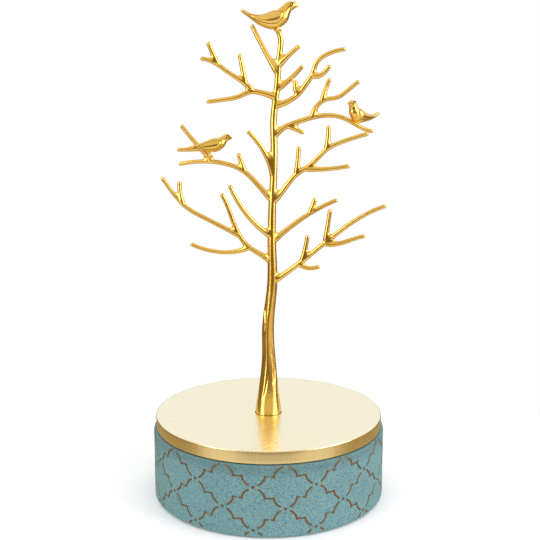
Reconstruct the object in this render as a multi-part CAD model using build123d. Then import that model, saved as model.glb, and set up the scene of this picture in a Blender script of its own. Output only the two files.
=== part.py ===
"""Jewellery stand, in millimetres: a cast metal tree with perched birds stands on the round metal lid
of a trinket box covered in leatherette. The lid lifts off the box with the tree on it.

The origin is the middle of the underside. X runs to the viewer's right, Y away from the viewer, Z up.
Points of the tree are (across, up), measured from the middle of the trunk's foot."""

import os
from math import ceil, cos, exp, pi, radians, sin

from build123d import *

# Box: a board ring and floor, covered outside in leatherette and lined with velvet
box_diameter = 150.0
box_height = 45.0
foot_pad_thickness = 0.6
foot_pad_inset = 4.0
wrap_thickness = 0.8
wrap_turn_in = 9.0
wrap_turn_under = 10.0
wall_thickness = 4.0
wall_rim_round = 1.0
wall_foot_round = 0.5
floor_thickness = 3.0
lining_thickness = 1.0
lining_below_rim = 7.0
cushion_thickness = 4.0
cushion_round = 1.5
glue_gap = 0.1
cushion_gap = 0.4

# Lid: a drawn metal cap on a board core, with a velvet panel that drops into the box's mouth
lid_setback = 1.6
lid_height = 8.4
lid_sheet = 1.2
lid_edge_round = 0.8
panel_thickness = 5.0
panel_clearance = 0.7
panel_round = 1.0

# Screw that holds the trunk to the lid from below
screw_radius = 2.5
screw_clearance = 0.06
screw_hole_clearance = 0.4
screw_in_trunk = 13.0
screw_head_radius = 4.5
screw_head_height = 3.0
screw_socket_width = 3.0
screw_socket_depth = 1.6
washer_radius = 6.5
washer_thickness = 1.0
counterbore_gap = 0.4

# Trunk: (across, up, radius) at each station, with root flutes that fade out as they rise
trunk_stations = [
    (-0.2, 0.0, 8.6),
    (-0.2, 4.0, 8.2),
    (0.0, 12.0, 7.0),
    (0.2, 22.0, 5.8),
    (0.2, 38.0, 4.5),
    (-0.3, 55.0, 4.0),
    (0.9, 70.0, 3.6),
    (2.3, 84.0, 3.3),
    (2.3, 100.0, 2.95),
    (2.1, 125.0, 2.55),
    (3.0, 150.0, 2.25),
    (3.4, 174.0, 2.15),
    (3.2, 190.0, 2.05),
    (5.0, 206.0, 1.95),
    (5.9, 218.0, 1.85),
    (6.7, 228.0, 1.75),
    (5.7, 242.0, 1.7),
]
flute_count = 5
flute_depth = 0.11
flute_top = 84.0
flute_twist = 40.0
foot_forward = 3.5
foot_lean_height = 40.0

# Limbs: tapered rods, a collar where a limb springs from the trunk, and a rounded bud at each tip
limb_radius = 1.75
branch_radius = 1.5
twig_radius = 1.35
tip_radius = 1.3
collar_swell = 0.35
collar_length = 2.4
bud_swell = 1.06
rod_station_spacing = 3.5

# Birds
leg_radius = 0.7
leg_spread = 0.5
foot_radius = 0.95
beak_root_share = 0.55
beak_tip_radius = 0.3

# Heights and radii that follow from the sizes above
box_radius = box_diameter / 2
wall_outer = box_radius - wrap_thickness
wall_inner = wall_outer - wall_thickness
wall_bottom = foot_pad_thickness + wrap_thickness
wall_top = box_height - wrap_thickness
mouth_radius = wall_inner - wrap_thickness
lining_outer = mouth_radius - glue_gap
lining_inner = lining_outer - lining_thickness
floor_top = wall_bottom + floor_thickness
lining_top = box_height - lining_below_rim
lid_radius = box_radius - lid_setback
lid_top = box_height + lid_height
core_radius = lid_radius - lid_sheet - glue_gap
core_top = lid_top - lid_sheet
counterbore_radius = washer_radius + counterbore_gap
counterbore_top = box_height + screw_head_height + washer_thickness + counterbore_gap
screw_hole_radius = screw_radius + screw_hole_clearance


# Round pieces stand on the middle of one end
on_end = (Align.CENTER, Align.CENTER, Align.MIN)


def save(node, shape):
    """Write one piece to its own file."""
    export_step(shape, os.path.join("parts", f"{node}.step"))


def disc(radius, bottom, top):
    """An upright round disc between two heights."""
    return Pos(0, 0, bottom) * Cylinder(radius, top - bottom, align=on_end)


def band(inner, outer, bottom, top):
    """A rectangle in the XZ plane, to be turned about the Z axis."""
    middle = Pos((inner + outer) / 2, (bottom + top) / 2)
    return Plane.XZ * (middle * Rectangle(outer - inner, top - bottom))


# Box


def wall_section():
    """Section of the board ring: round over the rim, eased at the foot."""
    section = band(wall_inner, wall_outer, wall_bottom, wall_top)
    section = fillet(section.vertices().group_by(Axis.Z)[-1], wall_rim_round)
    outer_foot = section.vertices().group_by(Axis.Z)[0].sort_by(Axis.X)[-1]
    return fillet(outer_foot, wall_foot_round)


def make_foot_pad():
    """Felt disc under the box."""
    return disc(box_radius - foot_pad_inset, 0, foot_pad_thickness)


def make_floor_board():
    """Board disc set into the bottom of the wall ring."""
    return disc(wall_inner - glue_gap, wall_bottom, floor_top)


def make_wall_ring():
    """Board ring that makes the side of the box."""
    return revolve(wall_section(), Axis.Z)


def make_leather_wrap():
    """Leatherette skin: under the foot, up the side, over the rim and a little way down inside."""
    skin = offset(wall_section(), wrap_thickness, kind=Kind.ARC)
    open_inside = band(0, wall_inner, 0, box_height - wrap_turn_in)
    open_below = band(0, box_radius - wrap_turn_under, 0, wall_bottom)
    return revolve(skin - wall_section() - open_inside - open_below, Axis.Z)


def make_wall_lining():
    """Velvet-covered card that lines the wall below the turned-in edge of the leatherette."""
    return revolve(band(lining_inner, lining_outer, floor_top, lining_top), Axis.Z)


def make_floor_cushion():
    """Velvet-covered pad that jewellery lies on."""
    pad = disc(lining_inner - cushion_gap, floor_top, floor_top + cushion_thickness)
    return fillet(pad.edges().group_by(Axis.Z)[-1], cushion_round)


# Lid


def make_lid_cap():
    """Drawn metal cap with a short skirt and an eased top edge, pierced for the screw."""
    section = band(0, lid_radius, box_height, lid_top)
    top_corner = section.vertices().group_by(Axis.Z)[-1].sort_by(Axis.X)[-1]
    section = fillet(top_corner, lid_edge_round)
    hollow = band(0, lid_radius - lid_sheet, box_height, core_top)
    hole = band(0, screw_hole_radius, core_top, lid_top)
    return revolve(section - hollow - hole, Axis.Z)


def make_lid_core():
    """Board disc that stiffens the cap, with a counterbore for the screw head."""
    core = disc(core_radius, box_height, core_top)
    core -= disc(counterbore_radius, box_height, counterbore_top)
    return core - disc(screw_hole_radius, counterbore_top, core_top)


def make_lid_panel():
    """Velvet-covered panel under the lid, a loose fit in the mouth of the box."""
    panel = disc(mouth_radius - panel_clearance, box_height - panel_thickness, box_height)
    return fillet(panel.edges().group_by(Axis.Z)[0], panel_round)


def make_screw_washer():
    """Flat washer under the screw head."""
    washer = disc(washer_radius, counterbore_top - washer_thickness, counterbore_top)
    return washer - disc(screw_hole_radius, counterbore_top - washer_thickness, counterbore_top)


def make_trunk_screw():
    """Machine screw with a socket head, driven up through the lid into the trunk."""
    head_top = counterbore_top - washer_thickness
    head_bottom = head_top - screw_head_height
    screw = disc(screw_head_radius, head_bottom, head_top)
    screw += disc(screw_radius, head_top, lid_top + screw_in_trunk)
    socket = Pos(0, 0, head_bottom) * RegularPolygon(screw_socket_width / 2, 6, major_radius=False)
    return screw - extrude(socket, screw_socket_depth)


# Tree


def fluted_section(across, up, radius):
    """Trunk outline at one height: a circle with rounded lobes, deepest halfway up the flutes. The foot
    stands forward of the rest."""
    rise = min(up / flute_top, 1.0)
    depth = 4 * flute_depth * rise * (1 - rise)
    turn = radians(flute_twist) * rise
    points = []
    steps = 4 * flute_count
    for step in range(steps):
        angle = 2 * pi * step / steps
        reach = radius * (1 - depth * (1 - cos(flute_count * (angle - turn) - pi / 2)) / 2)
        points.append((reach * cos(angle), reach * sin(angle)))
    outline = Spline(*points, periodic=True)
    lean = max(0.0, 1 - up / foot_lean_height)
    return Pos(across, -foot_forward * lean**2, lid_top + up) * make_face(outline)


def make_trunk():
    """Trunk casting, drilled in the foot for the screw."""
    trunk = loft([fluted_section(*station) for station in trunk_stations])
    return trunk - disc(screw_radius + screw_clearance, lid_top, lid_top + screw_in_trunk + counterbore_gap)


def rod(points, root_radius):
    """A tapered rod on a smooth line through points, flared just outside its root and budded at its tip."""
    line = Spline(*[(across, 0, lid_top + up) for across, up in points])
    steps = max(4, ceil(line.length / rod_station_spacing))
    sections = []
    for step in range(steps + 1):
        along = step / steps
        from_root = along * line.length / collar_length
        flare = collar_swell * from_root * exp(1 - from_root)
        radius = root_radius + (tip_radius - root_radius) * along + flare
        section = Plane(origin=line @ along, x_dir=(0, 1, 0), z_dir=line % along)
        sections.append(section * Circle(radius))
    bud = Pos(*(line @ 1)) * Sphere(tip_radius * bud_swell)
    return loft(sections) + bud


def trunk_middle(up):
    """How far across the trunk's middle lies at a height."""
    for (low_across, low, _), (high_across, high, _) in zip(trunk_stations, trunk_stations[1:]):
        if up <= high:
            return low_across + (high_across - low_across) * (up - low) / (high - low)
    return trunk_stations[-1][0]


def make_limb(trunk, root, fan, stem, branches=(), twigs=()):
    """A flat limb casting: a stem from the trunk's middle at height root, with the branches and twigs on
    it, turned fore or aft by fan degrees about the upright line through its root, and cut to seat on
    the trunk."""
    hinge = trunk_middle(root)
    limb = rod([(hinge, root), *stem], limb_radius)
    limb += [rod(branch, branch_radius) for branch in branches]
    limb += [rod(twig, twig_radius) for twig in twigs]
    return limb.rotate(Axis((hinge, 0, 0), (0, 0, 1)), fan) - trunk


# Each limb: height of its root, degrees out of the tree's plane, its stem, then its branches and twigs
limbs = {
    "limb_right_1": dict(
        root=85.5,
        fan=-8,
        stem=[(20.6, 99), (37, 112.6), (55.2, 126.6), (72.4, 135.3)],
        branches=[[(35.5, 111.4), (42, 111), (49.8, 113), (59.7, 116.3)]],
        twigs=[
            [(19.4, 98), (24, 95.6), (31.4, 96)],
            [(21.4, 99.6), (23, 105.6), (24.7, 115)],
            [(36.2, 112.4), (37.2, 120), (38.8, 131.5)],
        ],
    ),
    "limb_right_2": dict(
        root=111.5,
        fan=9,
        stem=[(13.6, 120.7), (28.3, 130.4), (43.1, 137.3)],
        twigs=[[(26.5, 129.2), (28, 133.2), (29.6, 137.8)]],
    ),
    "limb_right_3": dict(
        root=137,
        fan=-6,
        stem=[(11.1, 147), (17.8, 154.8), (25, 159.5), (36.7, 170.4), (47.2, 175.4), (60.7, 179.6)],
        branches=[[(23, 158), (35.8, 158), (49.4, 159.8)]],
        twigs=[
            [(17.4, 154.4), (18.1, 160.2), (18.9, 170.6)],
            [(36.1, 169.8), (36.9, 175.2), (37.4, 183.5)],
        ],
    ),
    "limb_right_4": dict(
        root=178,
        fan=7,
        stem=[
            (10.3, 183.8),
            (18.2, 187),
            (29.6, 190.2),
            (41.2, 190.8),
            (47.8, 189.2),
            (55.2, 185.3),
            (65.1, 181.1),
        ],
        branches=[[(27.8, 189.8), (31.2, 197.6), (35, 200.4), (43.1, 202), (49.4, 206), (56, 211.3)]],
        twigs=[
            [(11.5, 184.6), (16, 183), (21, 180.5)],
            [(33.4, 199.6), (35.3, 205.7), (37.9, 212.5)],
        ],
    ),
    "limb_right_5": dict(
        root=197,
        fan=-9,
        stem=[
            (12.8, 199.9),
            (18.6, 204),
            (23.9, 210.8),
            (27.3, 216.3),
            (29.4, 222.3),
            (33.8, 226.4),
            (46, 230.4),
        ],
        branches=[[(26.8, 215.6), (31.1, 214.9), (34.3, 216.7), (37.2, 220.1)]],
        twigs=[[(18.6, 203.8), (16.9, 206.8), (16.8, 211)]],
    ),
    "limb_right_6": dict(root=207, fan=10, stem=[(13.5, 213.2), (20.5, 220.2)]),
    "limb_right_7": dict(root=221, fan=-12, stem=[(11.5, 226.4), (18.3, 232)]),
    "limb_left_1": dict(
        root=98,
        fan=-8,
        stem=[(-6, 104), (-13.8, 109), (-19.7, 117), (-23.9, 127), (-29.8, 140.9)],
        branches=[
            [(-18.4, 115), (-30, 120.8), (-42.7, 127), (-53.1, 132.9), (-60.4, 140.2), (-68.2, 150.8)],
            [(-12.4, 108), (-27.5, 104.3), (-37.3, 105.1), (-49.6, 108.7)],
        ],
        twigs=[[(-55.2, 134.6), (-56.9, 140.5), (-57.5, 148.2)]],
    ),
    "limb_left_2": dict(root=115, fan=10, stem=[(-8.1, 123), (-18, 135.1), (-24.3, 147)]),
    "limb_left_3": dict(
        root=138,
        fan=-10,
        stem=[(-7.9, 149), (-16.5, 156.6), (-29.4, 161.2), (-40.2, 162.2), (-57, 160.5)],
        branches=[[(-36, 162), (-45.7, 172.3), (-55.5, 183.8)]],
        twigs=[[(-15.5, 155.8), (-17.2, 161), (-19, 166.2)]],
    ),
    "limb_left_4": dict(root=152, fan=8, stem=[(-1.8, 166.5), (-6.9, 174.4), (-12.3, 180.5)]),
    "limb_left_5": dict(
        root=202,
        fan=9,
        stem=[(-3.9, 204.6), (-11.9, 205.2), (-18.5, 202.5), (-26.5, 200.7), (-37.2, 199.3)],
        branches=[[(-10, 205.7), (-16, 211.2), (-24.7, 216.8), (-32.2, 221.9), (-40.6, 224.9)]],
        twigs=[
            [(-14.6, 210), (-16, 218), (-17.7, 226.7)],
            [(-31.2, 221.2), (-33.8, 226.8), (-36.7, 233.6)],
        ],
    ),
    "limb_left_6": dict(root=216.5, fan=-9, stem=[(-0.8, 227.4), (-10, 244.6)]),
}


def seat_point(perch, stand):
    """The point that a bird stands on: on the trunk, or on a limb after the limb is turned to its place."""
    across, up = stand
    if perch == "trunk":
        return Vector(across, 0, lid_top + up)
    hinge = trunk_middle(limbs[perch]["root"])
    turn = radians(limbs[perch]["fan"])
    reach = across - hinge
    return Vector(hinge + reach * cos(turn), reach * sin(turn), lid_top + up)


def make_wing(wing, side):
    """A folded wing, lofted from the shoulder to its tip through upright ellipses.
    Its stations are (along, out, up, half height, half thickness)."""
    sections = []
    for along, out, up, tall, thick in wing:
        section = Plane(origin=(along, side * out, up), x_dir=(0, 1, 0), z_dir=(-1, 0, 0))
        sections.append(section * Ellipse(thick, tall))
    return loft(sections)


def make_foot(side, step, hip):
    """A leg up to the hip, and a round foot that is stepped up onto the perch."""
    leg = Cylinder(leg_radius, hip, align=on_end)
    return Pos(0, side * leg_spread, 0) * (leg + Pos(0, 0, step) * Sphere(foot_radius))


def make_bird(pieces, perch, stand, step, middle, yaw, spine, head, beak, wing):
    """A bird casting: body and tail lofted along the spine, round head, beak, folded wings and two feet, cut
    to sit on its perch. The middle of the body lies off the point that it stands on by middle, and its
    feet lie above that point by step. Spine stations are (along, up, half height, half width)."""
    points = [Vector(along, 0, up) for along, up, tall, wide in spine]
    sections = []
    for index, (along, up, tall, wide) in enumerate(spine):
        heading = points[min(index + 1, len(points) - 1)] - points[max(index - 1, 0)]
        section = Plane(origin=points[index], x_dir=(0, 1, 0), z_dir=heading)
        sections.append(section * Ellipse(wide, tall))
    body = loft(sections)

    head_along, head_up, head_radius = head
    head_middle = Vector(head_along, 0, head_up)
    beak_line = Vector(beak[0], 0, beak[1]) - head_middle
    cone = Cone(head_radius * beak_root_share, beak_tip_radius, beak_line.length, align=on_end)
    body += Pos(*head_middle) * Sphere(head_radius)
    body += Plane(origin=head_middle, x_dir=(0, 1, 0), z_dir=beak_line) * cone
    body += [make_wing(wing, side) for side in (-1, 1)]

    seat = seat_point(perch, stand)
    body = Pos(*(seat + Vector(*middle))) * Rot(0, 0, yaw) * body
    body += [Pos(*seat) * Rot(0, 0, yaw) * make_foot(side, step, middle[2]) for side in (-1, 1)]
    return body - pieces[perch]


# Each bird: its perch, where it stands on that, its middle from there, which way it faces, and its form
birds = {
    "bird_top": dict(
        perch="trunk",
        stand=trunk_stations[-1][:2],
        step=0.3,
        middle=(-2.9, 0, 5.7),
        yaw=0,
        spine=[
            (-18.8, 5.7, 0.9, 1.7),
            (-13.7, 2.8, 1.5, 2.2),
            (-7.4, 0.4, 3.3, 3.6),
            (-0.8, 0.4, 5.2, 4.7),
            (4.4, 2.0, 4.7, 4.3),
            (7.8, 5.6, 2.9, 2.8),
            (10.2, 8.2, 2.0, 2.1),
        ],
        head=(11.2, 9.0, 2.7),
        beak=(15.3, 8.5),
        wing=[
            (6.6, 2.5, 2.9, 0.7, 0.5),
            (4.5, 3.7, 2.4, 2.8, 1.0),
            (0.5, 4.1, 1.9, 3.1, 1.3),
            (-4.5, 3.5, 1.3, 2.5, 1.2),
            (-9.0, 2.5, 1.6, 1.6, 1.0),
            (-13.5, 0.9, 2.9, 0.5, 0.7),
        ],
    ),
    "bird_left": dict(
        perch="limb_left_3",
        stand=(-38, 164.2),
        step=1.2,
        middle=(2.9, -1.5, 8.1),
        yaw=8,
        spine=[
            (-22.4, -2.4, 1.0, 1.6),
            (-16.5, -2.2, 1.2, 2.0),
            (-8.4, -1.0, 2.5, 2.9),
            (-0.5, 0.0, 4.3, 3.9),
            (3.6, 1.6, 3.8, 3.6),
            (6.1, 4.0, 2.5, 2.4),
            (7.2, 4.9, 1.7, 1.8),
        ],
        head=(7.8, 5.3, 2.4),
        beak=(11.0, 4.4),
        wing=[
            (5.0, 2.4, 1.7, 0.6, 0.5),
            (3.4, 3.0, 1.4, 2.1, 0.9),
            (0.2, 3.4, 0.9, 2.3, 1.1),
            (-3.6, 3.0, 0.0, 1.9, 1.0),
            (-7.4, 2.3, -0.6, 1.2, 0.9),
            (-11.6, 0.9, -1.2, 0.5, 0.7),
        ],
    ),
    "bird_right": dict(
        perch="limb_right_4",
        stand=(55.2, 185.3),
        step=1.3,
        middle=(1.2, 0, 5.5),
        yaw=220,
        spine=[
            (-17.3, 1.2, 0.9, 1.4),
            (-12.5, -0.8, 1.2, 1.8),
            (-6.5, -0.9, 2.7, 2.9),
            (-0.5, 0.0, 4.5, 4.0),
            (3.2, 2.4, 3.9, 3.5),
            (4.3, 5.4, 2.5, 2.4),
            (4.4, 6.8, 1.9, 1.9),
        ],
        head=(4.4, 7.3, 2.2),
        beak=(9.2, 7.6),
        wing=[
            (3.2, 2.5, 1.7, 0.6, 0.5),
            (1.8, 3.1, 1.4, 2.0, 0.9),
            (-0.8, 3.5, 1.0, 2.3, 1.1),
            (-4.2, 3.0, 0.1, 1.9, 1.0),
            (-7.4, 2.3, -0.4, 1.2, 0.9),
            (-11.0, 0.9, -0.5, 0.5, 0.7),
        ],
    ),
}


def main():
    os.makedirs("parts", exist_ok=True)
    pieces = {
        "foot_pad": make_foot_pad(),
        "floor_board": make_floor_board(),
        "wall_ring": make_wall_ring(),
        "leather_wrap": make_leather_wrap(),
        "wall_lining": make_wall_lining(),
        "floor_cushion": make_floor_cushion(),
        "lid_cap": make_lid_cap(),
        "lid_core": make_lid_core(),
        "lid_panel": make_lid_panel(),
        "screw_washer": make_screw_washer(),
        "trunk_screw": make_trunk_screw(),
        "trunk": make_trunk(),
    }
    for node, form in limbs.items():
        pieces[node] = make_limb(pieces["trunk"], **form)
    for node, form in birds.items():
        pieces[node] = make_bird(pieces, **form)
    for node, shape in pieces.items():
        save(node, shape)


main()
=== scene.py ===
"""Looks of the jewellery stand: a cast gold tree with three birds on the brushed metal lid of a round box
covered in printed leatherette. Lengths of the stand's pieces are millimetres and become metres in the meshes;
in the materials and in the last section they are metres. Angles round the stand run from the viewer's side
towards the viewer's right."""

import bmesh
import bpy
import numpy as np
from mathutils.bvhtree import BVHTree
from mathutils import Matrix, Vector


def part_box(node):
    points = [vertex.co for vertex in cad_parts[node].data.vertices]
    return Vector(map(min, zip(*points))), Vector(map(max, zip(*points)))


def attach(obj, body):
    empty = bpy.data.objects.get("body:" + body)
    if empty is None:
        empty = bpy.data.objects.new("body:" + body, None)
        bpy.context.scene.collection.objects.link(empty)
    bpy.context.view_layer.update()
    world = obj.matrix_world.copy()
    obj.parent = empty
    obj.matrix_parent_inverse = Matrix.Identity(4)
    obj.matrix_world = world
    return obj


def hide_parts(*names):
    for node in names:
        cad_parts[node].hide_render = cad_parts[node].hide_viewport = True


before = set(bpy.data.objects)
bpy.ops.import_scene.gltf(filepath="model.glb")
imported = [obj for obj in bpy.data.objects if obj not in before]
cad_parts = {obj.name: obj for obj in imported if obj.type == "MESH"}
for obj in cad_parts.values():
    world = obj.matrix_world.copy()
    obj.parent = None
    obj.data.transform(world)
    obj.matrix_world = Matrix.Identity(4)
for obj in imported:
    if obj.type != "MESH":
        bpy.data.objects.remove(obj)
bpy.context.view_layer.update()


# Foot pad
# A die-cut disc of pressed wool felt, glued over the turned-under edge of the covering so that the box
# doesn't scratch a table.

arc_points = 9
most_steps = 60
round_steps = 288
disc_middle = 0.5
pad_edge_below = 0.1
pad_edge_above = 0.2


def node_box(node):
    """Lowest and highest corner of a CAD node, in millimetres."""
    return 1000 * np.array(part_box(node))


def eased(corners, rounds, spacing, closed=True):
    """Outline through corners (reach, height) with each corner turned into an arc: the arc starts and ends
    round * tan(half the turn) from its corner, and its points are the circle's, swept by the turn. Straight
    runs are divided at about the spacing, a round of 0 leaves a corner sharp, and an outline that isn't
    closed stops at its last corner."""
    corners = np.array(corners, float)
    before = corners - np.roll(corners, 1, axis=0)
    after = np.roll(before, -1, axis=0)
    heading_in = np.arctan2(before[:, 1], before[:, 0])
    turn = np.arctan2(after[:, 1], after[:, 0]) - heading_in
    turn = (turn + np.pi) % (2 * np.pi) - np.pi
    arcs = []
    for corner, start, bend, radius in zip(corners, heading_in, turn, rounds):
        sweep = np.linspace(0, bend, arc_points if radius else 1)
        reach = radius * np.tan(abs(bend) / 2)
        first = corner - reach * np.array([np.cos(start), np.sin(start)])
        side = np.sign(bend) * radius
        arcs.append(np.stack([
            first[0] + side * (np.sin(start + sweep) - np.sin(start)),
            first[1] - side * (np.cos(start + sweep) - np.cos(start)),
        ], axis=1))
    pieces = []
    for arc, following in zip(arcs, arcs[1:] + arcs[:1]):
        run = following[0] - arc[-1]
        steps = int(np.clip(np.linalg.norm(run) / spacing, 2, most_steps))
        share = np.linspace(0, 1, steps, endpoint=False)[1:, None]
        pieces += [arc, arc[-1] + run * share]
    return np.concatenate(pieces if closed else pieces[:-1])


def turned(outline, angles):
    """Grid of an outline carried round the upright axis: each row is one outline point (reach, height), each
    column one angle, at (reach * sin angle, -reach * cos angle, height)."""
    reach, height = outline[:, :1], outline[:, 1:]
    return np.stack([
        reach * np.sin(angles),
        -reach * np.cos(angles),
        height + 0 * angles,
    ], axis=-1)


def closed_mesh(name, grids):
    """Mesh made of closed grids, each (points, ring). A grid's columns always close round; its rows close
    round too where ring is true, and otherwise end in fans on the middle of the end rows."""
    vertices, faces, start = [], [], 0
    for points, ring in grids:
        rows, columns, _ = points.shape
        index = start + np.arange(rows * columns).reshape(rows, columns)
        near = index if ring else index[:-1]
        far = np.roll(index, -1, axis=0) if ring else index[1:]
        quads = np.stack([near, np.roll(near, -1, axis=1), np.roll(far, -1, axis=1), far], axis=-1)
        faces += quads.reshape(-1, 4).tolist()
        vertices.append(points.reshape(-1, 3))
        start += rows * columns
        if not ring:
            for row, order in ((0, -1), (-1, 1)):
                edge = index[row][::order]
                fan = np.stack([edge, np.roll(edge, -1), np.full(columns, start)], axis=-1)
                faces += fan.tolist()
                vertices.append(points[row].mean(axis=0, keepdims=True))
                start += 1
    mesh = bpy.data.meshes.new(name)
    mesh.from_pydata((np.concatenate(vertices) / 1000).tolist(), [], faces)
    solid = bmesh.new()
    solid.from_mesh(mesh)
    bmesh.ops.recalc_face_normals(solid, faces=solid.faces)
    solid.to_mesh(mesh)
    solid.free()
    mesh.shade_smooth()
    return mesh


def piece(name, grids, body, material, stands_for=()):
    """Object made of closed grids that moves with a body and stands for CAD nodes."""
    return fitted(name, closed_mesh(name, grids), body, material, stands_for)


def fitted(name, mesh, body, material, stands_for=()):
    """Object of a finished mesh that moves with a body and stands for CAD nodes."""
    made = bpy.data.objects.new(name, mesh)
    bpy.context.scene.collection.objects.link(made)
    mesh.materials.append(material)
    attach(made, body)
    if stands_for:
        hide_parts(*stands_for)
    return made


def finish(name, settings):
    """New material, its node tree and its shader, with values set on the shader's own sockets."""
    material = bpy.data.materials.new(name)
    material.use_nodes = True
    shader = material.node_tree.nodes["Principled BSDF"]
    for socket, value in settings.items():
        shader.inputs[socket].default_value = value
    return material, material.node_tree, shader


def place(tree, kind, inputs, **options):
    """Node with its options set and its inputs either linked, where a socket is given, or set to a value."""
    node = tree.nodes.new(kind)
    for option, value in options.items():
        setattr(node, option, value)
    for socket, value in inputs.items():
        if isinstance(value, bpy.types.NodeSocket):
            tree.links.new(value, node.inputs[socket])
        else:
            node.inputs[socket].default_value = value
    return node


def shades(tree, share, stops):
    """Colour that runs through (place, colour) stops as the share goes from 0 to 1."""
    ramp = place(tree, "ShaderNodeValToRGB", {"Fac": share})
    elements = ramp.color_ramp.elements
    while len(elements) < len(stops):
        elements.new(0.5)
    for element, (position, colour) in zip(elements, stops):
        element.position = position
        element.color = (*colour, 1)
    return ramp.outputs["Color"]


def dented(tree, shader, height, depth, strength=1.0):
    """Bump of a height field, depth in metres, into the shader's normal."""
    bump = place(tree, "ShaderNodeBump", {"Height": height, "Distance": depth, "Strength": strength})
    tree.links.new(bump.outputs["Normal"], shader.inputs["Normal"])


def make_pile():
    """Short cloth pile: flecks of tone from fine noise over slow patches of nap, and the fibres' height."""
    pile = bpy.data.node_groups.new("Cloth pile", "ShaderNodeTree")
    pile.interface.new_socket("Fibre scale", in_out="INPUT", socket_type="NodeSocketFloat")
    pile.interface.new_socket("Fleck", in_out="OUTPUT", socket_type="NodeSocketFloat")
    pile.interface.new_socket("Fibre", in_out="OUTPUT", socket_type="NodeSocketFloat")
    given = pile.nodes.new("NodeGroupInput")
    result = pile.nodes.new("NodeGroupOutput")
    spot = place(pile, "ShaderNodeTexCoord", {}).outputs["Object"]
    fibres = place(pile, "ShaderNodeTexNoise", {
        "Vector": spot, "Scale": given.outputs["Fibre scale"], "Detail": 3.0, "Roughness": 0.7})
    nap = place(pile, "ShaderNodeTexNoise", {"Vector": spot, "Scale": 70.0, "Detail": 2.0})
    half = place(pile, "ShaderNodeMath", {0: nap.outputs["Fac"], 1: 0.6}, operation="MULTIPLY")
    fleck = place(pile, "ShaderNodeMath", {0: fibres.outputs["Fac"], 1: 0.4, 2: half.outputs[0]},
                  operation="MULTIPLY_ADD")
    pile.links.new(fleck.outputs[0], result.inputs["Fleck"])
    pile.links.new(fibres.outputs["Fac"], result.inputs["Fibre"])
    return pile


def cloth(name, pile, fibre_scale, dark, light, depth, settings):
    """Piled cloth that runs from a dark to a light tone with the pile's flecks."""
    material, tree, shader = finish(name, settings)
    nap = place(tree, "ShaderNodeGroup", {}, node_tree=pile)
    nap.inputs["Fibre scale"].default_value = fibre_scale
    tone = shades(tree, nap.outputs["Fleck"], [(0.35, dark), (0.65, light)])
    tree.links.new(tone, shader.inputs["Base Color"])
    dented(tree, shader, nap.outputs["Fibre"], depth)
    return material


all_round = np.linspace(-np.pi, np.pi, round_steps, endpoint=False)
pile = make_pile()
felt = cloth("Black felt", pile, 1500.0, (0.012, 0.012, 0.013), (0.030, 0.030, 0.032), 0.0004,
             {"Roughness": 0.95, "Specular IOR Level": 0.2})

pad_low, pad_high = node_box("foot_pad")
pad_reach = pad_high[0]
pad_outline = eased([
    (disc_middle, pad_low[2]), (pad_reach, pad_low[2]),
    (pad_reach, pad_high[2]), (disc_middle, pad_high[2]),
], rounds=[0, pad_edge_below, pad_edge_above, 0], spacing=3.0, closed=False)
piece("felt_foot_pad", [(turned(pad_outline, all_round), False)], "box", felt, ["foot_pad"])


# Board of the box
# The floor and the wall are medium-density fibreboard: a disc glued into a turned ring, rounded over at
# the rim. Everything on the outside hangs on them. The lid's core is cut from the same board.

def make_board():
    """Fibreboard: brown with pressed fibres, paler flecks and a matt, slightly furred surface."""
    material, tree, shader = finish("Fibreboard", {"Roughness": 0.85, "Specular IOR Level": 0.25})
    spot = place(tree, "ShaderNodeTexCoord", {}).outputs["Object"]
    fibres = place(tree, "ShaderNodeTexNoise", {
        "Vector": spot, "Scale": 900.0, "Detail": 4.0, "Roughness": 0.75, "Distortion": 1.2})
    tone = shades(tree, fibres.outputs["Fac"], [(0.3, (0.22, 0.13, 0.07)), (0.7, (0.42, 0.29, 0.17))])
    tree.links.new(tone, shader.inputs["Base Color"])
    dented(tree, shader, fibres.outputs["Fac"], 0.0003)
    return material


board = make_board()
for node in ("floor_board", "wall_ring", "lid_core"):
    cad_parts[node].data.materials.clear()
    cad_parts[node].data.materials.append(board)


# Leatherette covering
# A strip of grained, coated cloth wrapped round the wall, butted in an upright seam at the back, rolled
# over the rim, and turned under the foot, where it is glued down.

wrap_low, wrap_high = node_box("leather_wrap")
wall_high = node_box("wall_ring")[1]
wrap_reach = wrap_high[0]
wrap_skin = wrap_reach - wall_high[0]
wrap_rim = wrap_high[2]
wrap_foot = wrap_low[2]
wrap_turn_in = 9.0
wrap_turn_under = 10.0
rim_round = 1.8
foot_round = 1.3
cut_edge = 0.2
board_rim = 1.0
board_foot = 0.5
wall_inside = 70.2
mouth = wall_inside - wrap_skin
seam_half_width = 0.35
seam_depth = 0.45
seam_fade = 0.2
seam_reach = 3
seam_columns = 25
# Painted shade: from this height up to the rim the covering is darkened, standing in for the shade under the
# lid.
rim_shade_start = 36.0
rim_shade_full = 44.0


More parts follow.
